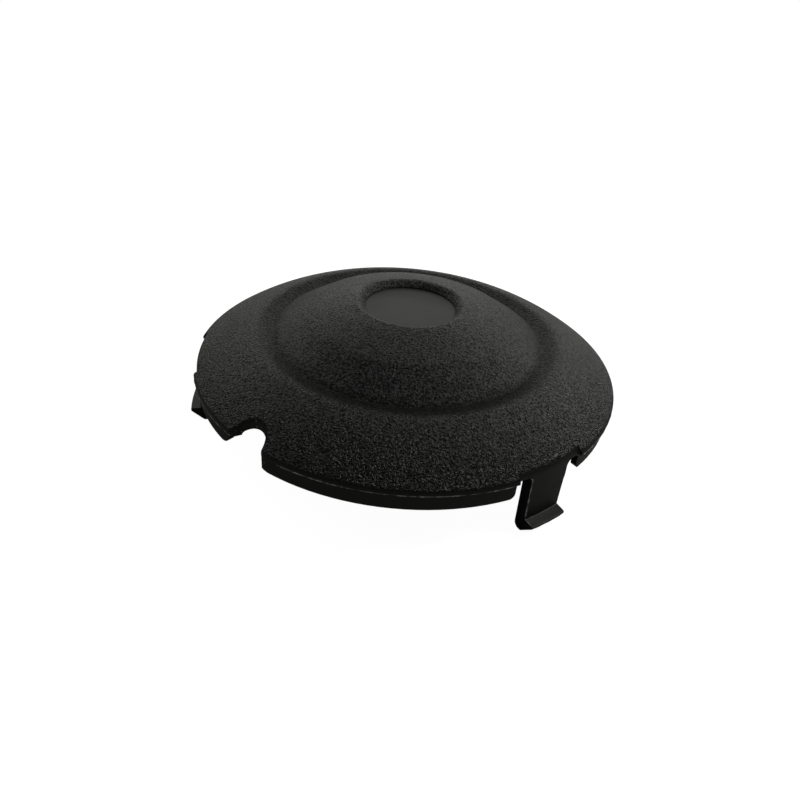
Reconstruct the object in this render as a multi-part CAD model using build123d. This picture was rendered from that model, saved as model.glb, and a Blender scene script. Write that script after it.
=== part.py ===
"""Moulded plastic hubcap: one thin-walled piece with a stepped hill, a pry notch and snap tabs.

Frame: +Z is the cap's axis and points out of the wheel. The origin is on the axis, level with the feet
of the tabs, so the cap stands on z = 0 as it does on a bench.
"""
import os
from math import degrees, radians, tan

from build123d import *

# Driving dimensions of the roof, in millimetres, from the axis outwards
seat_radius = 15.6        # flat seat for a badge
seat_depth = 2.4          # seat below the crest that rings it
seat_flare = 2.8          # width of the sloping wall round the seat
cone_width = 17.1         # upper slope of the hill, crest to knee
cone_drop = 4.8
cone_crown = 0.4          # bulge of the upper slope above its chord
band_width = 12.0         # lower and steeper slope, knee to groove
band_drop = 7.6
groove_width = 6.3        # bottom of the groove to the brow
groove_rise = 1.5
brow_width = 21.2         # convex outer ring, brow to rim
brow_drop = 11.3
brow_crown = 0.9          # bulge of the ring above its chord
roof_wall = 3.2           # measured along the axis

# Driving dimensions of the rim and skirt
rim_lip = 1.3             # height of the rim's outer edge
rim_overhang = 1.1        # rim beyond the skirt
skirt_height = 6.0        # skirt below the rim
skirt_wall = 2.2

# Driving dimensions of the pry notch
notch_angle = -121.4      # degrees from +X
notch_radius = 5.9
notch_depth = 6.6         # in from the rim
notch_corner = 2.4        # rounding of the mouth, in plan
notch_tilt = -22.0        # channel against the radius, in degrees
notch_foot = 5.7          # rounding of the skirt's lower corners beside the notch

# Driving dimensions of the snap tabs
tab_count = 3
tab_angle = -45.0         # degrees from +X to the first tab
tab_width = 15.2          # at the root
tab_thickness = 3.7
tab_taper = 0.6           # each side, root to foot
tab_reach = 16.1          # foot below the skirt
tab_gap = 5.6             # slot between a tab and the skirt
slot_bite = 0.4           # slot above the rim's underside
slot_corner = 2.0         # rounding at the top of a slot
slot_foot = 2.0           # rounding of the skirt's lower corners beside a slot
shoulder_round = 3.0      # roof rolling over into a tab
hook_height = 5.3         # catch above the foot
hook_reach = 3.4          # catch beyond the tab's face
hook_fall = 0.6           # slope of the catch, outwards
hook_edge = 0.9           # height of the catch's blunt edge
foot_land = 0.6           # flat under the foot
foot_round = 2.2          # inner corner of the foot

# Driving dimensions of the roundings
crest_round = 2.4
knee_round = 9.0
brow_round = 6.0
edge_roll = 1.6           # rim and notch, where the grained face turns down
root_round = 2.0          # inside corner of roof and skirt

# Radii and levels that follow from the sizes above
crest_radius = seat_radius + seat_flare
knee_radius = crest_radius + cone_width
valley_radius = knee_radius + band_width
brow_radius = valley_radius + groove_width
rim_radius = brow_radius + brow_width
skirt_radius = rim_radius - rim_overhang
bore_radius = skirt_radius - skirt_wall
tab_bore_radius = skirt_radius - tab_thickness
skirt_z = tab_reach
rim_z = skirt_z + skirt_height
rim_top_z = rim_z + rim_lip
brow_z = rim_top_z + brow_drop
valley_z = brow_z - groove_rise
knee_z = valley_z + band_drop
crest_z = knee_z + cone_drop
seat_z = crest_z - seat_depth
slot_top_z = rim_z + slot_bite
zone_half_width = tab_width / 2 + tab_gap
clear = 5.0               # how far a cutter passes beyond what it cuts
touch = 1e-3              # an edge this near a curve lies on it
steep = 0.9               # an edge that climbs more than this is upright


def turn(face):
    """Turns a half section, drawn as radius and height, once round the axis."""
    return revolve(Plane.XZ * face, Axis.Z)


def roof_section(base_z):
    """Half section of all under the outer face, down to base_z, with stock left beyond the rim."""
    seat = Line((0, seat_z), (seat_radius, seat_z))
    flare = Line(seat @ 1, (crest_radius, crest_z))
    cone = SagittaArc(flare @ 1, (knee_radius, knee_z), cone_crown)
    band = Line(cone @ 1, (valley_radius, valley_z))
    groove = Line(band @ 1, (brow_radius, brow_z))
    brow = SagittaArc(groove @ 1, (rim_radius, rim_top_z), brow_crown)
    # the ring's own arc, run on past the rim, so that the rim's edge lies inside one face
    longer = JernArc(groove @ 1, brow % 0, brow.radius, -degrees((brow.length + clear) / brow.radius))
    sides = Polyline(longer @ 1, ((longer @ 1).X, base_z), (0, base_z), seat @ 0)
    return make_face(seat + flare + cone + band + groove + longer + sides)


def outer_section(base_z):
    """The same half section with the crest, knee and brow rounded as they are on the outer face."""
    section = roof_section(base_z)
    roundings = [
        (crest_radius, crest_z, crest_round),
        (knee_radius, knee_z, knee_round),
        (brow_radius, brow_z, brow_round),
    ]
    for radius, height, rounding in roundings:
        corner = section.vertices().sort_by_distance((radius, height))[0]
        section = fillet(corner, rounding)
    return section


def cut_off(section, radius, rounding):
    """Half section without what lies beyond a radius, its upper corner there rounded."""
    section = section & Pos(radius / 2, 0) * Rectangle(radius, 2 * (crest_z + clear))
    corners = [corner for corner in section.vertices() if abs(corner.X - radius) < touch]
    return fillet(max(corners, key=lambda corner: corner.Y), rounding)


def cavity():
    """Space under the roof and inside the skirt: the roof again, lowered by its wall."""
    lowered = Pos(0, -roof_wall) * roof_section(-clear)
    core = turn(cut_off(lowered, bore_radius, root_round))
    tab_bore = Cylinder(tab_bore_radius, 2 * (crest_z + clear))
    return core - [zone - tab_bore for zone in tab_zones()]


def rim_plan():
    """Plan of the rim with its notch towards +X, the corners of the mouth rounded."""
    end = Pos(rim_radius - notch_depth + notch_radius, 0)
    length = notch_depth + notch_radius + clear
    channel = end * Rot(0, 0, notch_tilt) * Pos(length / 2, 0) * Rectangle(length, 2 * notch_radius)
    plan = Circle(rim_radius) - end * Circle(notch_radius) - channel
    corners = [corner for corner in plan.vertices() if abs(Vector(corner).length - rim_radius) < touch]
    return fillet(corners, notch_corner)


def skirt_gap(middle_y, half, rounding):
    """Cuts a gap into the skirt at +X, its half width given at the top and its lower corners rounded."""
    wide = half + rounding
    opening = Pos(0, (rounding - clear) / 2) * Rectangle(2 * wide, rounding + clear)
    for side in (-1, 1):
        opening -= Pos(side * wide, rounding) * Circle(rounding)
    return extrude(Plane.YZ.offset(bore_radius - clear) * Pos(middle_y, skirt_z) * opening, rim_radius)


def tab_places():
    """Turns about the axis that carry a feature from +X to each tab."""
    return [Rot(0, 0, tab_angle + index * 360 / tab_count) for index in range(tab_count)]


def half_width(height):
    """Half the width of a tab at a height above its foot."""
    return tab_width / 2 - tab_taper * (slot_top_z - height) / slot_top_z


def tab_section():
    """Half section through a tab: the roof rolls over into the tab's face, which ends in a hook."""
    face = cut_off(outer_section(skirt_z), skirt_radius, shoulder_round)
    tip_radius = skirt_radius + hook_reach
    tip_z = hook_height - hook_fall
    hook = Polyline(
        (0, skirt_z),
        (skirt_radius, skirt_z),
        (skirt_radius, hook_height),
        (tip_radius, tip_z),
        (tip_radius, tip_z - hook_edge),
        (tab_bore_radius + foot_round + foot_land, 0),
        (0, 0),
        close=True,
    )
    return face + make_face(hook)


def tab_zones():
    """Blocks of space that each hold a tab and the slots beside it."""
    inner_x = (brow_radius + tab_bore_radius) / 2
    outer_x = rim_radius + hook_reach + clear
    box = Box(outer_x - inner_x, 2 * zone_half_width, 2 * (crest_z + clear))
    return [place * Pos((inner_x + outer_x) / 2, 0, 0) * box for place in tab_places()]


def block():
    """Roof and skirt as one solid, cut to the rim's plan, with the outer edge rolled over."""
    skirt = Pos(skirt_radius / 2, skirt_z + skirt_height / 2) * Rectangle(skirt_radius, skirt_height)
    solid = turn(outer_section(rim_z) + skirt)
    plan = Rot(0, 0, notch_angle) * rim_plan()
    solid -= Pos(0, 0, skirt_z - clear) * extrude(Circle(rim_radius + 2 * clear) - plan, crest_z)
    mouth_y = notch_depth * tan(radians(notch_tilt))
    solid -= Rot(0, 0, notch_angle) * skirt_gap(mouth_y, notch_radius, notch_foot)
    solid -= [place * skirt_gap(0, zone_half_width, slot_foot) for place in tab_places()]
    outline = plan.face().outer_wire()

    def is_top_edge(edge):
        middle = edge @ 0.5
        on_outline = Vertex(middle.X, middle.Y, 0).distance_to(outline) < touch
        level = abs((edge % 0.5).Z) < steep
        return on_outline and level and middle.Z > rim_z + rim_lip / 2

    return fillet(solid.edges().filter_by(is_top_edge), edge_roll)


def slots():
    """The two slots beside a tab at +X, with round upper corners."""
    low_z = -clear
    outer_y = half_width(slot_top_z) + tab_gap
    depth = tab_thickness + hook_reach + 2 * clear
    cutters = []
    for side in (-1, 1):
        upper = [(side * half_width(slot_top_z), slot_top_z), (side * outer_y, slot_top_z)]
        lower = [(side * outer_y, low_z), (side * half_width(low_z), low_z)]
        face = make_face(Polyline(*upper, *lower, close=True))
        face = fillet([face.vertices().sort_by_distance(point)[0] for point in upper], slot_corner)
        cutters.append(extrude(Plane.YZ.offset(tab_bore_radius - clear) * face, depth))
    return cutters


def hubcap():
    """The whole cap: block, tabs set into it, cavity, slots and rounded feet."""
    zones = tab_zones()
    tabs = turn(tab_section())
    cap = block() - zones + [tabs & zone for zone in zones]
    cap -= cavity()
    for place in tab_places():
        cap -= [place * cutter for cutter in slots()]

    def is_inner_foot(edge):
        return abs(edge.radius - tab_bore_radius) < touch and abs(edge.center().Z) < touch

    return fillet(cap.edges().filter_by(GeomType.CIRCLE).filter_by(is_inner_foot), foot_round)


cap = hubcap()
cap.label = "hubcap"
os.makedirs("parts", exist_ok=True)
export_step(cap, "parts/hubcap.step")
print(f"hubcap {len(cap.solids())} solid, {cap.volume / 1000:.1f} cm3, valid {cap.is_valid}")
print(cap.bounding_box())
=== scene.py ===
# %% [markdown]
# # A moulded hubcap
# The object is one black plastic cap, 150 mm across: a grained outer ring, a groove, a low hill with a
# flat badge seat, a pry notch in the rim, and three snap tabs below. The solid was modelled in CAD and is
# loaded here as a fixed frame. This lesson gives it the look of the photographed one.

# %% Load the frame
from math import cos, pi, radians, sin

import bpy
import numpy as np
from mathutils import Matrix, Vector


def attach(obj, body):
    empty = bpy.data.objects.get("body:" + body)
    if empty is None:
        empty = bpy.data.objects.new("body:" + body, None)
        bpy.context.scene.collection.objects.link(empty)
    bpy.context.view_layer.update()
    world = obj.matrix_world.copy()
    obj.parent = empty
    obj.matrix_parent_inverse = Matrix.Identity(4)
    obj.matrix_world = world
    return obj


MM = 0.001
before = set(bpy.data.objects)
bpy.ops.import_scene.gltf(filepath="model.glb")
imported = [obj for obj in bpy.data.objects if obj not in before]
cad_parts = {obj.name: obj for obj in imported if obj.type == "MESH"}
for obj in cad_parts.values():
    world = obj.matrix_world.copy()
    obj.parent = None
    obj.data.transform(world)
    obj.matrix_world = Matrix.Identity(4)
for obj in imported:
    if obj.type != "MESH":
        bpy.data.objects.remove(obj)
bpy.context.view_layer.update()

# %% [markdown]
# ## The camera
# The photograph was fitted with a pinhole camera: rings of known radius give the tilt and the distance.
# The lens is given as a focal length in pixels of an 800 pixel frame, which Blender wants in millimetres
# of sensor. The camera looks at the cap from the front, slightly turned, and rolled by a few degrees.

# %% Place the camera
FRAME_PIXELS = 800
FOCAL_PIXELS = 700
SENSOR = 36.0
ELEVATION = radians(33.75)
ROLL = radians(-5.29)
TURN = radians(5.9)                  # the CAD frame against the photograph's own
CAP_RADIUS = 75 * MM
DISTANCE = 3.471 * CAP_RADIUS
SHIFT_RIGHT = 0.0213 * CAP_RADIUS
SHIFT_UP = 0.1336 * CAP_RADIUS
SKIRT_Z = 16.1 * MM                  # the camera was fitted to the ring under the skirt

right = Vector((1, 0, 0))
up = Vector((0, sin(ELEVATION), cos(ELEVATION)))
ahead = Vector((0, cos(ELEVATION), -sin(ELEVATION)))
image_right = cos(ROLL) * right - sin(ROLL) * up
image_up = sin(ROLL) * right + cos(ROLL) * up
place = -SHIFT_RIGHT * image_right - SHIFT_UP * image_up - DISTANCE * ahead

pose = Matrix((image_right, image_up, -ahead)).transposed().to_4x4()
pose.translation = place
camera_data = bpy.data.cameras.new("camera")
camera_data.sensor_width = SENSOR
camera_data.lens = SENSOR * FOCAL_PIXELS / FRAME_PIXELS
camera = bpy.data.objects.new("camera", camera_data)
scene = bpy.context.scene
scene.collection.objects.link(camera)
camera.matrix_world = Matrix.Translation((0, 0, SKIRT_Z)) @ Matrix.Rotation(TURN, 4, "Z") @ pose
scene.camera = camera
print("camera at", [round(x, 3) for x in camera.matrix_world.translation])

# %% [markdown]
# ## Nodes in one line
# A material is a small graph. One helper adds a node, sets its values and links its inputs. The others are
# the few nodes that this lesson uses again and again: a smooth step, a sum or product, a length or
# distance, a noise, and a blend of two colours.

# %% Helpers for materials


def linear(code):
    """An sRGB hex colour as linear RGBA: the sRGB curve undone, channel by channel."""
    channels = np.array([int(code[i : i + 2], 16) for i in (1, 3, 5)]) / 255
    low = channels / 12.92
    high = ((channels + 0.055) / 1.055) ** 2.4
    return (*np.where(channels <= 0.04045, low, high).tolist(), 1.0)


def add(tree, kind, inputs=None, **settings):
    """Adds a node to a tree, sets its properties, and sets or links its inputs by name or number."""
    node = tree.nodes.new(kind)
    for name, value in settings.items():
        setattr(node, name, value)
    for name, value in (inputs or {}).items():
        if isinstance(value, bpy.types.NodeSocket):
            tree.links.new(value, node.inputs[name])
        else:
            node.inputs[name].default_value = value
    return node


def rise(tree, value, low, high, bottom=0.0, top=1.0):
    """A value that goes from bottom to top on a smooth step while the input goes from low to high."""
    inputs = {"Value": value, "From Min": low, "From Max": high, "To Min": bottom, "To Max": top}
    return add(tree, "ShaderNodeMapRange", inputs, interpolation_type="SMOOTHSTEP").outputs["Result"]


def maths(tree, operation, first, second):
    """Two values joined by one operation."""
    return add(tree, "ShaderNodeMath", {0: first, 1: second}, operation=operation).outputs["Value"]


def vector_maths(tree, operation, *vectors):
    """One number worked out from one or two vectors, such as a length or a distance."""
    inputs = dict(enumerate(vectors))
    return add(tree, "ShaderNodeVectorMath", inputs, operation=operation).outputs["Value"]


def noise(tree, vector, size, detail=2.0):
    """Cloudy noise whose lumps are about the given size in metres."""
    inputs = {"Vector": vector, "Scale": 1 / size, "Detail": detail, "Roughness": 0.5}
    return add(tree, "ShaderNodeTexNoise", inputs).outputs["Fac"]


def blend(tree, factor, first, second):
    """One colour turned into another by a factor; the node's colour sockets are found by their number."""
    return add(tree, "ShaderNodeMix", {0: factor, 6: first, 7: second}, data_type="RGBA").outputs[2]


def new_material(name):
    """An empty material with its output node."""
    material = bpy.data.materials.new(name)
    material.use_nodes = True
    material.node_tree.nodes.clear()
    return material, material.node_tree, add(material.node_tree, "ShaderNodeOutputMaterial")


# %% [markdown]
# ## Where the grain is
# The mould's outer half was etched, so every face that looks out of the wheel came out grained. The badge
# seat was left plain for glue, and the skirt, the tabs and the inside come from smooth steel. The direction
# of the surface, its height and its distance from the axis tell these apart, so no mask has to be painted.

# %% Grain mask
SEAT_EDGE = 15.6 * MM
GRAIN_RADII = (SEAT_EDGE - 0.1 * MM, SEAT_EDGE + 0.6 * MM)   # the grain starts, and is full
GRAIN_FACING = (0.5, 0.75)           # upward part of the normal, likewise
GRAIN_HEIGHTS = (19 * MM, 22 * MM)   # and height above the feet

plastic, tree, output = new_material("etched_mould_black_polypropylene")
coords = add(tree, "ShaderNodeTexCoord").outputs
spot = coords["Object"]
parts = add(tree, "ShaderNodeSeparateXYZ", {"Vector": spot}).outputs
flat = add(tree, "ShaderNodeCombineXYZ", {"X": parts["X"], "Y": parts["Y"]}).outputs["Vector"]
radius = vector_maths(tree, "LENGTH", flat)
facing = add(tree, "ShaderNodeSeparateXYZ", {"Vector": coords["Normal"]}).outputs["Z"]

looks_out = rise(tree, facing, *GRAIN_FACING)
beyond_seat = rise(tree, radius, *GRAIN_RADII)
above_skirt = rise(tree, parts["Z"], *GRAIN_HEIGHTS)
grained = maths(tree, "MULTIPLY", maths(tree, "MULTIPLY", looks_out, beyond_seat), above_skirt)
print("grain starts", round(SEAT_EDGE / MM, 1), "mm from the axis")

# %% [markdown]
# ## The grain
# An etched grain is a close field of rounded lumps about 0.8 mm across. Light from the side catches one
# flank of each, so the face sparkles in small light and dark specks. Two sizes of noise are added, because
# one size alone looks like woven cloth. Soft light flattens a bump, so it is drawn deeper than the tenth
# of a millimetre of a real etched grain. Slow waves stand for the slight sinking of a moulding as it cools,
# and a bevelled normal rounds the edges, because no moulding has them quite sharp.

# %% Grain bump
GRAIN = 0.7 * MM
FINE = 0.38 * MM
WAVE = 9 * MM
FINE_SHARE, WAVE_SHARE = 0.6, 0.25   # heights against that of the main grain
DEPTH = 0.5 * MM
EDGE = 0.45 * MM                     # radius that the edges seem to have
EDGE_RAYS = 6                        # rays that the bevel sends out to find an edge

lumps = noise(tree, spot, GRAIN, 1.0)
fine = noise(tree, spot, FINE, 0.0)
field = maths(tree, "ADD", lumps, maths(tree, "MULTIPLY", fine, FINE_SHARE))
height = maths(tree, "MULTIPLY", field, grained)
waves = noise(tree, spot, WAVE, 1.0)
swell = maths(tree, "ADD", height, maths(tree, "MULTIPLY", waves, WAVE_SHARE))
rounded = add(tree, "ShaderNodeBevel", {"Radius": EDGE}, samples=EDGE_RAYS).outputs["Normal"]
relief = {"Height": swell, "Strength": 1.0, "Distance": DEPTH, "Normal": rounded}
bump = add(tree, "ShaderNodeBump", relief).outputs["Normal"]
print("grain", GRAIN / MM, "mm and", FINE / MM, "mm, depth", DEPTH / MM, "mm")

# %% [markdown]
# ## Painted edge highlights and dust
# The edges of the tabs and the notch are painted pale. This is a painted highlight for the light that their
# rounded edges catch. A bevelled normal differs from the true one only near an edge, and that difference is
# the
# mask. Dust shows as a few whitish specks: cells scattered over the part, most of them empty, and closer
# together at the notch's mouth, where a tool has scuffed it.

# %% Painted edge highlight and dust masks
EDGE_HIGHLIGHT_AGREE = (0.97, 0.8)             # agreement of the two normals where the painted highlight starts, and is full
EDGE_HIGHLIGHT_PATCH = 4 * MM
EDGE_HIGHLIGHT_LEVELS = (0.35, 0.7)            # of the noise that breaks the painted highlight into patches
NOTCH_ANGLE = radians(-121.4)
MOUTH_RADIUS, MOUTH_Z = 74 * MM, 23 * MM
SCUFF_REACH = (11 * MM, 7 * MM)      # from the mouth, where the scuffs end, and are full

true_normal = add(tree, "ShaderNodeNewGeometry").outputs["Normal"]
agree = vector_maths(tree, "DOT_PRODUCT", rounded, true_normal)
near_edge = rise(tree, agree, *EDGE_HIGHLIGHT_AGREE)
patchy = rise(tree, noise(tree, spot, EDGE_HIGHLIGHT_PATCH), *EDGE_HIGHLIGHT_LEVELS)
# painted highlight: pale paint on the edges, standing for the light that rounded edges catch
edge_highlight = maths(tree, "MULTIPLY", near_edge, patchy)


def specks(cell, size, share):
    """Mask of round specks: one per cell of a scattered grid, kept in a share of the cells."""
    cells = add(tree, "ShaderNodeTexVoronoi", {"Vector": spot, "Scale": 1 / cell}).outputs
    near = rise(tree, cells["Distance"], size / cell, 0.5 * size / cell)
    chance = add(tree, "ShaderNodeSeparateColor", {"Color": cells["Color"]}).outputs["Red"]
    kept = maths(tree, "GREATER_THAN", chance, 1 - share)
    return maths(tree, "MULTIPLY", near, kept)


mouth = (MOUTH_RADIUS * cos(NOTCH_ANGLE), MOUTH_RADIUS * sin(NOTCH_ANGLE), MOUTH_Z)
by_mouth = rise(tree, vector_maths(tree, "DISTANCE", spot, mouth), *SCUFF_REACH)
dust = specks(cell=7 * MM, size=0.42 * MM, share=0.35)
scuffs = maths(tree, "MULTIPLY", specks(cell=1.6 * MM, size=0.4 * MM, share=0.3), by_mouth)
# pale mask: real dust and scuffs, together with the painted edge highlight
dust_and_edge_highlight = maths(tree, "MAXIMUM", maths(tree, "MAXIMUM", dust, scuffs), edge_highlight)
print("notch mouth at", [round(x / MM, 1) for x in mouth], "mm")

# %% [markdown]
# ## Black polypropylene
# The plastic is coloured through with carbon black, so nearly all its tone is reflected light. The etched
# face looks dull because of its grain: the tops of the lumps shine and the pits between them do not. The
# groove is given less shine, because it is darker in the photograph than the lamps alone make it. The seat
# is a shade lighter. Slow clouds in tone and roughness keep the large faces from looking like paint.

# %% Plastic
CLOUD = 14 * MM
CLOUD_ROUGH = 0.12                   # change of roughness from one end of the clouds to the other
PLAIN_ROUGH, GRAIN_ROUGH = 0.42, 0.34
SEAT_ROUGH = -0.03                   # added on the seat
SEAT_FACING = (0.9, 0.99)            # upward part of the normal that counts as level
SEAT_RADII = (SEAT_EDGE + 0.3 * MM, SEAT_EDGE)
SHINE = 0.5                          # specular level of plain plastic
PIT_TO_TOP = (0.6, 1.0)              # height of the grain, and the shine there
PIT_SHINE, TOP_SHINE = 0.1, 1.0
GROOVE_INNER = (43 * MM, 49.5 * MM)  # radii over which the groove's dullness comes in from the hill
GROOVE_OUTER = (57 * MM, 50 * MM)    # and from the outer ring
GROOVE_SHARE = 0.35                  # of the shine is left in the groove
# share of the pale colour where dust, scuffs and the painted edge highlight are full
DUST_AND_HIGHLIGHT_SHARE = 0.85
IOR = 1.49                           # of polypropylene

clouds = noise(tree, spot, CLOUD)
in_seat = maths(tree, "MULTIPLY", rise(tree, facing, *SEAT_FACING), rise(tree, radius, *SEAT_RADII))
dull = rise(tree, grained, 0.0, 1.0, PLAIN_ROUGH, GRAIN_ROUGH)
uneven = maths(tree, "MULTIPLY", maths(tree, "SUBTRACT", clouds, 0.5), CLOUD_ROUGH)
smoother = maths(tree, "MULTIPLY", in_seat, SEAT_ROUGH)
roughness = maths(tree, "ADD", maths(tree, "ADD", dull, uneven), smoother)

moulded = blend(tree, clouds, linear("#161615"), linear("#1c1c1b"))
black = blend(tree, in_seat, moulded, linear("#2b2b29"))
# the pale colour carries dust, scuffs and the painted edge highlight
colour = blend(tree, maths(tree, "MULTIPLY", dust_and_edge_highlight, DUST_AND_HIGHLIGHT_SHARE), black, linear("#8e8c86"))

tops = maths(tree, "SUBTRACT", rise(tree, field, *PIT_TO_TOP, PIT_SHINE, TOP_SHINE), SHINE)
shine = maths(tree, "ADD", maths(tree, "MULTIPLY", tops, grained), SHINE)
in_groove = maths(tree, "MULTIPLY", rise(tree, radius, *GROOVE_INNER), rise(tree, radius, *GROOVE_OUTER))
sheen = maths(tree, "MULTIPLY", shine, rise(tree, in_groove, 0.0, 1.0, 1.0, GROOVE_SHARE))

look = {"Base Color": colour, "Roughness": roughness, "IOR": IOR}
look |= {"Specular IOR Level": sheen, "Normal": bump}
surface = add(tree, "ShaderNodeBsdfPrincipled", look)
tree.links.new(surface.outputs["BSDF"], output.inputs["Surface"])
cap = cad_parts["hubcap"]
cap.data.materials.clear()
cap.data.materials.append(plastic)
print("cap has", len(cap.data.polygons), "triangles,", len(tree.nodes), "nodes in its plastic")

# %% [markdown]
# ## Flash on the parting line
# The two halves of the mould meet at the rim's lower edge. A little plastic is squeezed out there and torn
# off, which leaves a ragged pale bead all round. The slides that form the tabs leave the same bead on the
# tabs' outer edges. Each bead follows a path of points an even step apart, taken from the CAD's own sizes.

# %% Flash on the rim
BEAD = 0.24 * MM
SUNK = 0.5 * BEAD                    # the bead's middle lies this far inside the edge
STEP = 0.35 * MM
RIM_EDGE_Z = 22.1 * MM
NOTCH_CENTRE = 74.3 * MM
NOTCH_RADIUS = 5.9 * MM
NOTCH_CORNER = 2.4 * MM
NOTCH_TILT = radians(-22)
TAB_COUNT = 3
TAB_ANGLE = -45                      # degrees from +X to the first tab
TAB_ROOM = radians(10.1)             # half the angle that a tab and its slots take


def arc(centre, radius, height, start, stop):
    """Points of a level arc: centre plus radius times the cosine and sine of an even run of angles."""
    angles = np.linspace(start, stop, max(3, int(abs(stop - start) * radius / STEP)))
    x = centre[0] + radius * np.cos(angles)
    y = centre[1] + radius * np.sin(angles)
    return np.stack([x, y, np.full_like(x, height)], axis=1)


def mouth_corner(side):
    """Centre of the rounding where rim and notch meet: inside the rim, outside the channel, by its radius."""
    across = -NOTCH_CENTRE * sin(NOTCH_TILT) + side * (NOTCH_RADIUS + NOTCH_CORNER)
    along = ((CAP_RADIUS - NOTCH_CORNER) ** 2 - across**2) ** 0.5
    angle = NOTCH_ANGLE + NOTCH_TILT
    return along * cos(angle) - across * sin(angle), along * sin(angle) + across * cos(angle)


def plan_angle(point):
    """Angle of a point about the axis, from 0 to a full turn."""
    return float(np.arctan2(point[1], point[0])) % (2 * pi)


def rim_arc(start, stop):
    """The rim's lower edge between two angles."""
    return arc((0, 0), CAP_RADIUS - SUNK, RIM_EDGE_Z, start, stop)


tabs = [radians(TAB_ANGLE + index * 360 / TAB_COUNT) for index in range(TAB_COUNT)]
left_corner, right_corner = mouth_corner(-1), mouth_corner(1)
left_end, right_end = plan_angle(left_corner), plan_angle(right_corner)
wall = NOTCH_ANGLE + NOTCH_TILT + pi / 2 + 2 * pi
turn_in = arc(left_corner, NOTCH_CORNER - SUNK, RIM_EDGE_Z, left_end, wall)
paths = [
    rim_arc(tabs[0] + TAB_ROOM, tabs[1] - TAB_ROOM),
    rim_arc(tabs[1] + TAB_ROOM, tabs[2] - TAB_ROOM),
    np.concatenate([rim_arc(tabs[2] + TAB_ROOM, left_end), turn_in[1:]]),
    rim_arc(right_end, tabs[0] + 2 * pi - TAB_ROOM),
]
print("notch mouth from", round(np.degrees(left_end), 1), "to", round(np.degrees(right_end), 1), "degrees")

# %% Flash on the tabs
FACE_RADIUS = 73.9 * MM
TIP_RADIUS = 77.3 * MM
ROOT_HALF = 7.6 * MM                 # half the tab's width at the top of its slots
FOOT_HALF = 7.14 * MM                # and at its hook
SLOT_TOP = 22.5 * MM
SLOT_CORNER = 2.0 * MM
CORNER_POINTS = 9
HOOK_LEVELS = (5.3 * MM, 4.7 * MM, 3.8 * MM)   # root of the hook, upper and lower edge of its tip


def evenly(points):
    """The same path with points an even step apart: each coordinate read off against the length so far."""
    length = np.concatenate([[0], np.cumsum(np.linalg.norm(np.diff(points, axis=0), axis=1))])
    even = np.linspace(0, length[-1], int(length[-1] / STEP))
    return np.stack([np.interp(even, length, column) for column in points.T], axis=1)


def tab_edge(side, angle):
    """Outer edge of a tab: round the slot's corner, down the side with its taper and out over the hook."""
    bend = np.linspace(pi / 2, pi, CORNER_POINTS)
    y = np.concatenate([ROOT_HALF + SLOT_CORNER * (1 + np.cos(bend)), [FOOT_HALF] * 3]) - SUNK
    z = np.concatenate([SLOT_TOP - SLOT_CORNER * (1 - np.sin(bend)), HOOK_LEVELS])
    radius = np.concatenate([np.full(len(bend) + 1, FACE_RADIUS), [TIP_RADIUS] * 2]) - SUNK
    about = angle + side * np.arcsin(y / radius)
    return evenly(np.stack([radius * np.cos(about), radius * np.sin(about), z], axis=1))


def barb_edge(angle):
    """Lower edge of a hook's tip, from one side of the tab to the other."""
    half_angle = FOOT_HALF / TIP_RADIUS
    return arc((0, 0), TIP_RADIUS - SUNK, HOOK_LEVELS[2], angle - half_angle, angle + half_angle)


for angle in tabs:
    paths += [tab_edge(-1, angle), tab_edge(1, angle), barb_edge(angle)]
print("flash runs on", len(paths), "paths,", sum(len(path) for path in paths), "points")

# %% Flash bead
BEAD_SIDES = 7
BEAD_MEAN, BEAD_SWING = 0.72, 0.16   # share of the bead's size, and how far each ripple changes it
RIPPLES = (5.3, 1.9, 0.83)           # millimetres of path to one radian of each ripple
PHASE_STEP = 1.7                     # gives every bead its own ripples
END_RINGS = 6                        # rings over which a bead thins out at its ends
END_SHARE = 0.05                     # of its thickness is left at the very end


def bead(path, phase):
    """A tube along a path: path point plus thickness times (cosine outwards, sine sideways).

    The thickness is the bead's size times a ragged factor, a mean plus sines of the length along the path,
    and it runs out nearly to a point at both ends.
    """
    rings = np.arange(len(path))
    step = np.gradient(path, axis=0)
    away = path * np.array([1, 1, 0])
    side = np.cross(step, away)
    side /= np.linalg.norm(side, axis=1, keepdims=True)
    out = np.cross(side, step)
    out /= np.linalg.norm(out, axis=1, keepdims=True)
    length = rings * STEP / MM
    waves = [np.sin(length / ripple + (index + 1) * phase) for index, ripple in enumerate(RIPPLES)]
    ragged = BEAD_MEAN + BEAD_SWING * sum(waves)
    ends = np.clip(np.minimum(rings, rings[::-1]) / END_RINGS, END_SHARE, 1)
    thick = BEAD * ragged * ends
    turn = np.linspace(0, 2 * pi, BEAD_SIDES, endpoint=False)[None, :, None]
    ring = np.cos(turn) * out[:, None, :] + np.sin(turn) * side[:, None, :]
    points = path[:, None, :] + thick[:, None, None] * ring
    row = rings[:-1, None] * BEAD_SIDES
    here = np.arange(BEAD_SIDES)[None, :]
    there = (here + 1) % BEAD_SIDES
    quads = np.stack([row + here, row + there, row + BEAD_SIDES + there, row + BEAD_SIDES + here], axis=-1)
    return points.reshape(-1, 3), quads.reshape(-1, 4)


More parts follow.
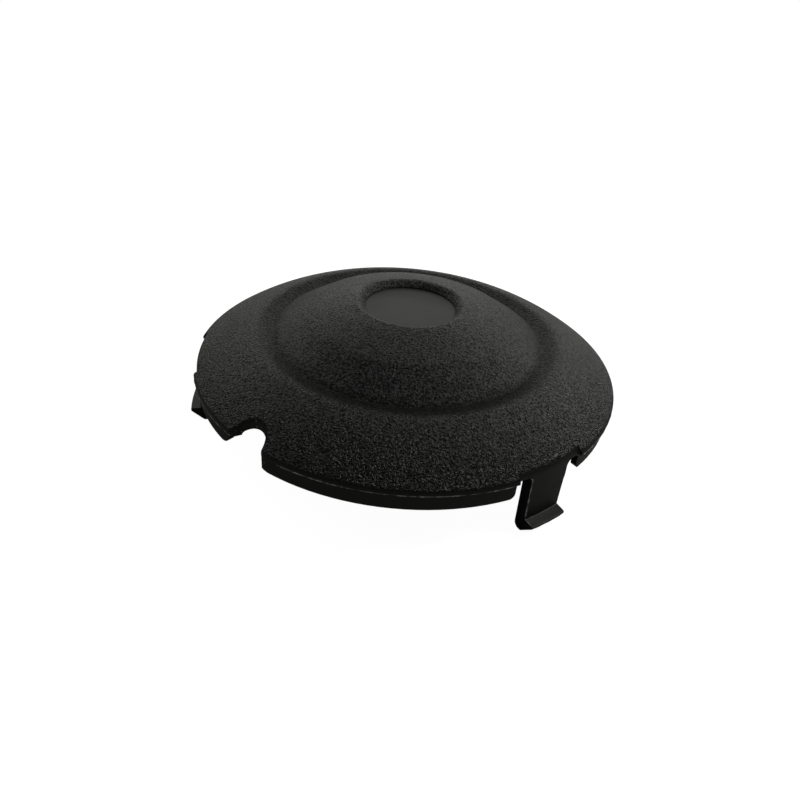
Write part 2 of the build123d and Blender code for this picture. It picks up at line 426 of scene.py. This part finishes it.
grids = [bead(path, PHASE_STEP * index) for index, path in enumerate(paths)]
starts = np.cumsum([0] + [len(points) for points, _ in grids[:-1]])
flash_mesh = bpy.data.meshes.new("parting_flash")
flash_mesh.from_pydata(
    np.concatenate([points for points, _ in grids]).tolist(),
    [],
    np.concatenate([quads + start for (_, quads), start in zip(grids, starts)]).tolist(),
)
flash_mesh.shade_smooth()
flash = bpy.data.objects.new("parting_flash", flash_mesh)
scene.collection.objects.link(flash)
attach(flash, "root")
print("flash has", len(flash_mesh.polygons), "faces")

# %% [markdown]
# ## Torn plastic
# Where polypropylene is torn it turns pale, because the stretched skin scatters light. The bead is the same
# black plastic with this grey bloom on it in patches, and it is rougher than the moulded face.

# %% Flash material
BLOOM_PATCH = 1.7 * MM
BLOOM_LEVELS = (0.35, 0.65)          # of the noise, where the bloom starts, and is full
SOUND_ROUGH, TORN_ROUGH = 0.5, 0.7

torn, tree, output = new_material("torn_flash_polypropylene")
spot = add(tree, "ShaderNodeTexCoord").outputs["Object"]
bloom = rise(tree, noise(tree, spot, BLOOM_PATCH), *BLOOM_LEVELS)
colour = blend(tree, bloom, linear("#6e6d68"), linear("#eceae2"))
roughness = rise(tree, bloom, 0.0, 1.0, SOUND_ROUGH, TORN_ROUGH)
surface = add(tree, "ShaderNodeBsdfPrincipled", {"Base Color": colour, "Roughness": roughness, "IOR": IOR})
tree.links.new(surface.outputs["BSDF"], output.inputs["Surface"])
flash_mesh.materials.append(torn)
print("torn plastic has", len(tree.nodes), "nodes")

# %% [markdown]
# ## The paper and the room
# The photograph has a plain white ground. Here it is white paper in a room, and both are white to the camera
# alone. The paper glows a little less near the cap, so that it still takes a faint soft shadow. To the cap
# itself the room is dim, because the black plastic in the photograph mirrors a dark room.

# %% Paper
FLOOR_SIDE = 4.0
PAPER_GLOW = 0.97                    # near the cap, where the lamps' light makes up the rest
GLOW_REACH = (0.1, 0.3)              # metres from the axis over which the glow becomes full
PAPER_CLOUD = 30 * MM

half = FLOOR_SIDE / 2
corners = [(-half, -half, 0), (half, -half, 0), (half, half, 0), (-half, half, 0)]
floor_mesh = bpy.data.meshes.new("floor")
floor_mesh.from_pydata(corners, [], [(0, 1, 2, 3)])
floor = bpy.data.objects.new("floor", floor_mesh)
scene.collection.objects.link(floor)
paper, tree, output = new_material("matt_white_paper")
rays = add(tree, "ShaderNodeLightPath").outputs
spot = add(tree, "ShaderNodeTexCoord").outputs["Object"]
full = rise(tree, vector_maths(tree, "LENGTH", spot), *GLOW_REACH, PAPER_GLOW, 1.0)
glow_strength = maths(tree, "MULTIPLY", rays["Is Camera Ray"], full)
fibres = blend(tree, noise(tree, spot, PAPER_CLOUD), linear("#b4b4b2"), linear("#bababa"))
diffuse = add(tree, "ShaderNodeBsdfDiffuse", {"Color": fibres})
glow = add(tree, "ShaderNodeEmission", {"Color": linear("#ffffff"), "Strength": glow_strength})
both = add(tree, "ShaderNodeAddShader", {0: diffuse.outputs[0], 1: glow.outputs[0]})
tree.links.new(both.outputs[0], output.inputs["Surface"])
floor_mesh.materials.append(paper)
print("paper", FLOOR_SIDE, "m square")

# %% Room
ROOM = 0.042                         # strength of the room's light on the cap
scene.view_settings.view_transform = "Standard"
world = bpy.data.worlds.new("studio")
scene.world = world
world.use_nodes = True
tree = world.node_tree
tree.nodes.clear()
rays = add(tree, "ShaderNodeLightPath").outputs
dim = add(tree, "ShaderNodeBackground", {"Color": linear("#ffffff"), "Strength": ROOM})
white = add(tree, "ShaderNodeBackground", {"Color": linear("#ffffff"), "Strength": 1.0})
mix = add(tree, "ShaderNodeMixShader", {0: rays["Is Camera Ray"], 1: dim.outputs[0], 2: white.outputs[0]})
tree.links.new(mix.outputs[0], add(tree, "ShaderNodeOutputWorld").inputs["Surface"])
print("room light", ROOM)

# %% [markdown]
# ## Soft boxes
# The flat seat mirrors what stands behind the cap, low down: a broad soft panel. The left and right flanks
# of the hill mirror panels at the sides; the right one is smaller and brighter, so the grain sparkles most
# there. Nothing hangs straight above or near the camera, so the front slopes stay nearly black.

# %% Lamps
LAMP_COLOUR = "#fffffb"              # daylight lamps through faintly warm cloth
LAMP_DISTANCE = 0.9
LAMPS = {                            # azimuth and elevation in degrees, width and height in metres, watts
    "back": (96, 34, (0.7, 0.4), 0.54),
    "back_left": (136, 15, (0.6, 0.4), 0.56),
    "back_right": (56, 15, (0.5, 0.4), 0.64),
    "left": (172, 42, (0.7, 0.5), 0.5),
    "right": (16, 48, (0.3, 0.28), 1.8),
    "low_back": (96, 10, (0.6, 0.25), 0.45),
}


def softbox(name, azimuth, elevation, size, power):
    """A rectangular area lamp on a sphere round the origin, facing it."""
    lamp = bpy.data.lights.new(name, "AREA")
    lamp.shape = "RECTANGLE"
    lamp.size, lamp.size_y = size
    lamp.energy = power
    lamp.color = linear(LAMP_COLOUR)[:3]
    thing = bpy.data.objects.new(name, lamp)
    scene.collection.objects.link(thing)
    a, e = radians(azimuth), radians(elevation)
    thing.location = LAMP_DISTANCE * Vector((cos(a) * cos(e), sin(a) * cos(e), sin(e)))
    thing.rotation_euler = thing.location.to_track_quat("Z", "Y").to_euler()


for name, settings in LAMPS.items():
    softbox(name, *settings)
print(len(LAMPS), "soft boxes,", round(sum(lamp[-1] for lamp in LAMPS.values()), 2), "W in all")
